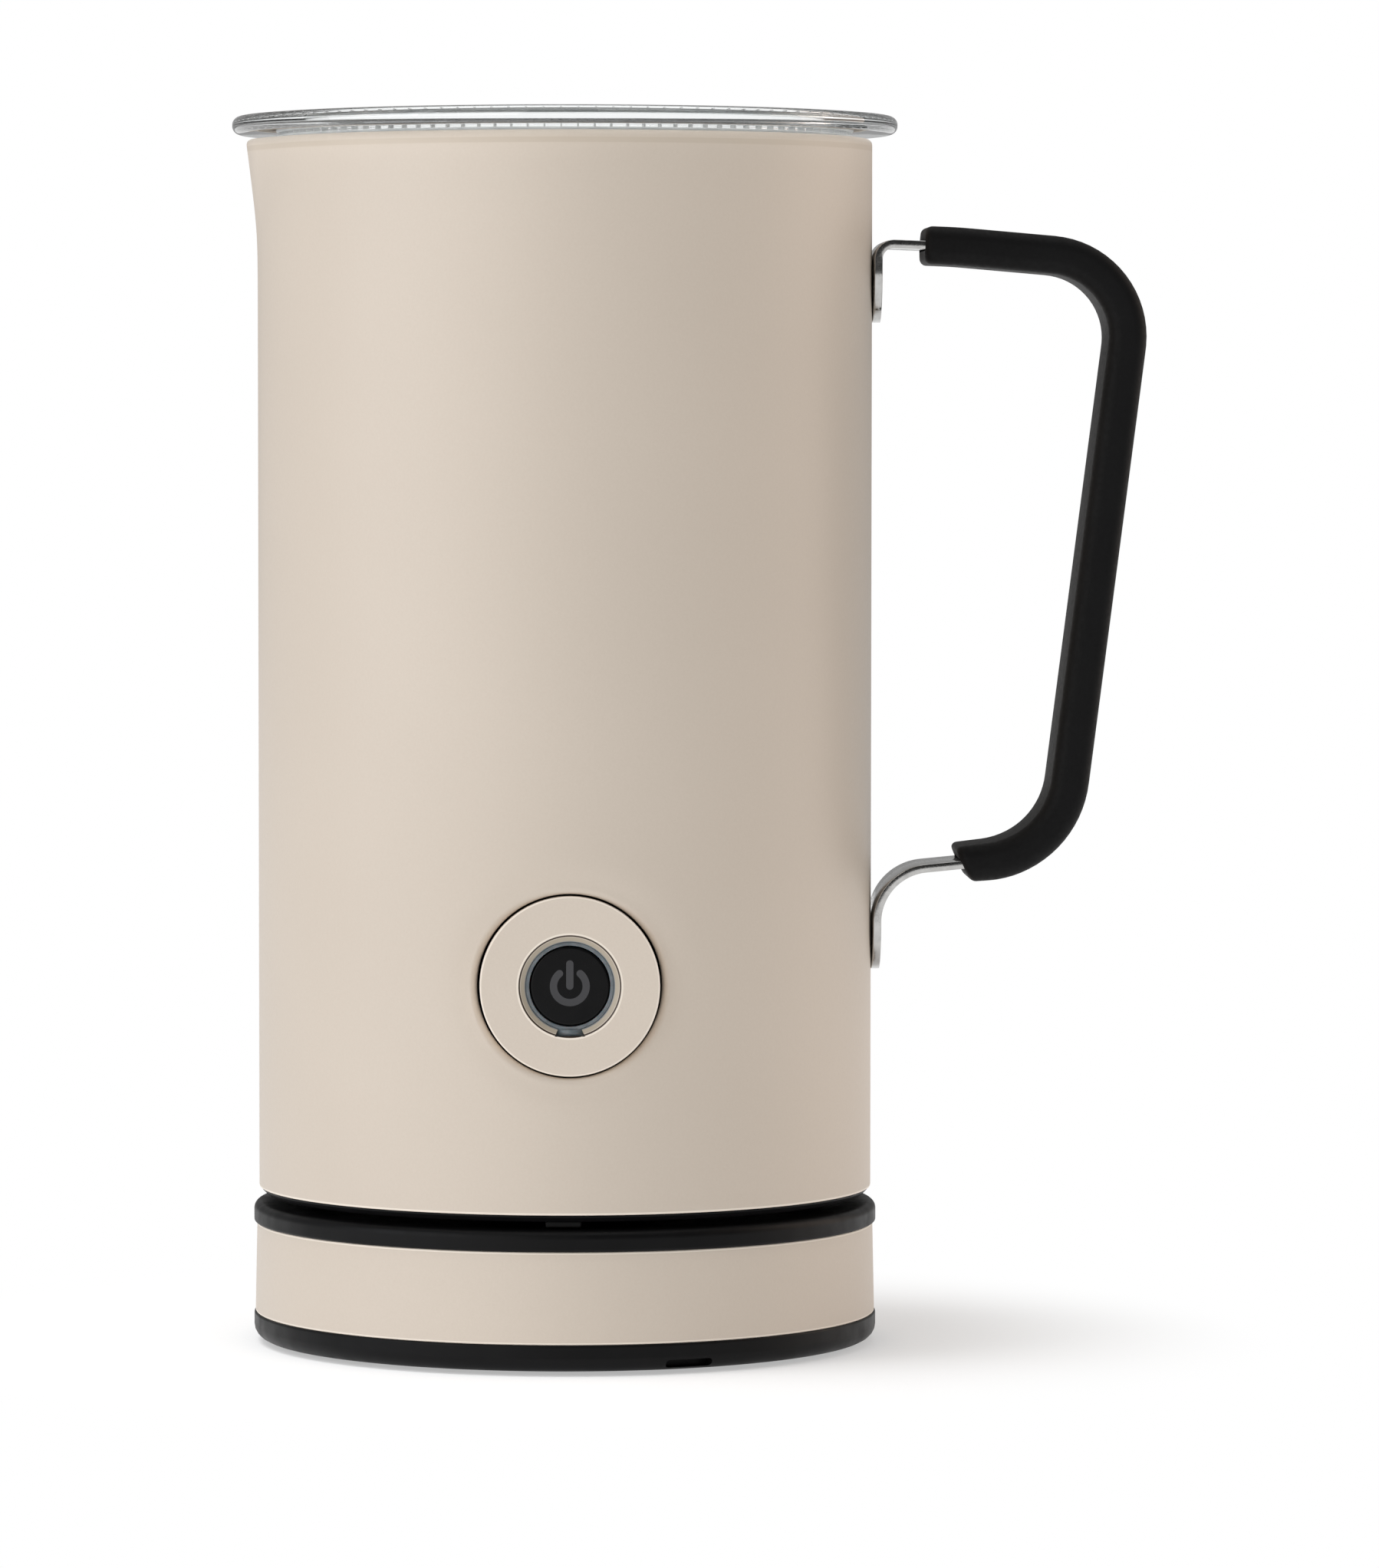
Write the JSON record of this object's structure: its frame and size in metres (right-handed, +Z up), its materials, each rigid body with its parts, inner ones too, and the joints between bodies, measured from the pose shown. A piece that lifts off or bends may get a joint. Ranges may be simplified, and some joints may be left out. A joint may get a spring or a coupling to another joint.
{
  "type": "milk frother",
  "caption": "Electric milk frother: beige metal jug with clear lid, strap handle and push button, on a round power base, with a magnetic whisk inside.",
  "frame": {"origin": "on the surface the base stands on, under the centre of the jug", "axes": "+Z up along the jug's axis, +X towards the handle, -X towards the spout, -Y towards the button"},
  "size_m": [0.1484, 0.1082, 0.2],
  "materials": {
    "powder_coat": "satin",
    "steel": "brushed",
    "black_plastic": "satin",
    "grip_rubber": "matte",
    "foot_rubber": "matte",
    "clear_plastic": "polished",
    "silicone": "satin",
    "dark_silicone": "satin",
    "button_black": "gloss",
    "symbol_grey": "printed",
    "light_guide": "frosted",
    "grey_plastic": "matte",
    "white_plastic": "matte",
    "contact_brass": "polished",
    "bush_bronze": "sintered",
    "screw_steel": "zinc plated",
    "aluminium_plate": "raw",
    "element_sheath": "dull",
    "magnet": "nickel plated",
    "ferrite": "matte",
    "copper_winding": "enamelled",
    "circuit_board": "solder mask",
    "component_black": "matte",
    "wire_red": "insulation",
    "wire_brown": "insulation"
  },
  "bodies": {
    "base": {"base_bottom_cover": "black_plastic", "base_band": "powder_coat", "base_top_cover": "black_plastic", "base_connector": "black_plastic", "base_contacts": "contact_brass", "rubber_feet": "foot_rubber", "base_screws": "screw_steel", "cord_gland": "black_plastic", "base_leads": "wire_brown"},
    "jug": {"outer_shell": "powder_coat", "inner_pot": "steel", "rim_gasket": "dark_silicone", "whisk_post": "steel", "heat_plate": "aluminium_plate", "heating_element": "element_sheath", "temperature_sensor": "steel", "thermal_fuse": "white_plastic", "chassis": "grey_plastic", "motor_bracket": "screw_steel", "motor_can": "screw_steel", "stator_magnets": "ferrite", "motor_bushes": "bush_bronze", "control_board": "circuit_board", "board_components": "component_black", "button_housing": "black_plastic", "button_board": "circuit_board", "tact_switch": "component_black", "status_leds": "white_plastic", "light_ring": "light_guide", "button_bezel": "powder_coat", "jug_bottom_cover": "black_plastic", "jug_connector": "black_plastic", "jug_contacts": "contact_brass", "jug_pads": "foot_rubber", "jug_screws": "screw_steel", "jug_wiring": "wire_red", "handle_strap": "steel", "handle_grip": "grip_rubber"},
    "rotor": {"motor_shaft": "steel", "armature": "copper_winding", "rotor_disc": "white_plastic", "drive_magnets": "magnet"},
    "whisk": {"whisk_hub": "black_plastic", "whisk_magnets": "magnet", "whisk_frame": "steel", "whisk_coil": "steel"},
    "lid": {"lid_cover": "clear_plastic", "lid_seal": "silicone"},
    "button": {"button_cap": "button_black", "power_symbol": "symbol_grey"}
  },
  "joints": [
    {"name": "jug_lift", "type": "slide", "parent": "base", "child": "jug", "axis": [0, 0, 1], "range_m": [0, 0.06]},
    {"name": "lid_lift", "type": "slide", "parent": "jug", "child": "lid", "axis": [0, 0, 1], "range_m": [0, 0.06]},
    {"name": "button_press", "type": "slide", "parent": "jug", "child": "button", "axis": [0, 1, 0], "range_m": [0, 0.0008], "stiffness_N_per_m": 900, "springref_m": -0.0015},
    {"name": "motor_spin", "type": "hinge", "parent": "jug", "child": "rotor", "pos_m": [0, 0, 0.08], "axis": [0, 0, 1], "continuous": true},
    {"name": "whisk_spin", "type": "hinge", "parent": "jug", "child": "whisk", "pos_m": [0, 0, 0.09], "axis": [0, 0, 1], "continuous": true}
  ],
  "couplings": [
    {"joint": "whisk_spin", "follows": "motor_spin", "ratio": 1}
  ]
}
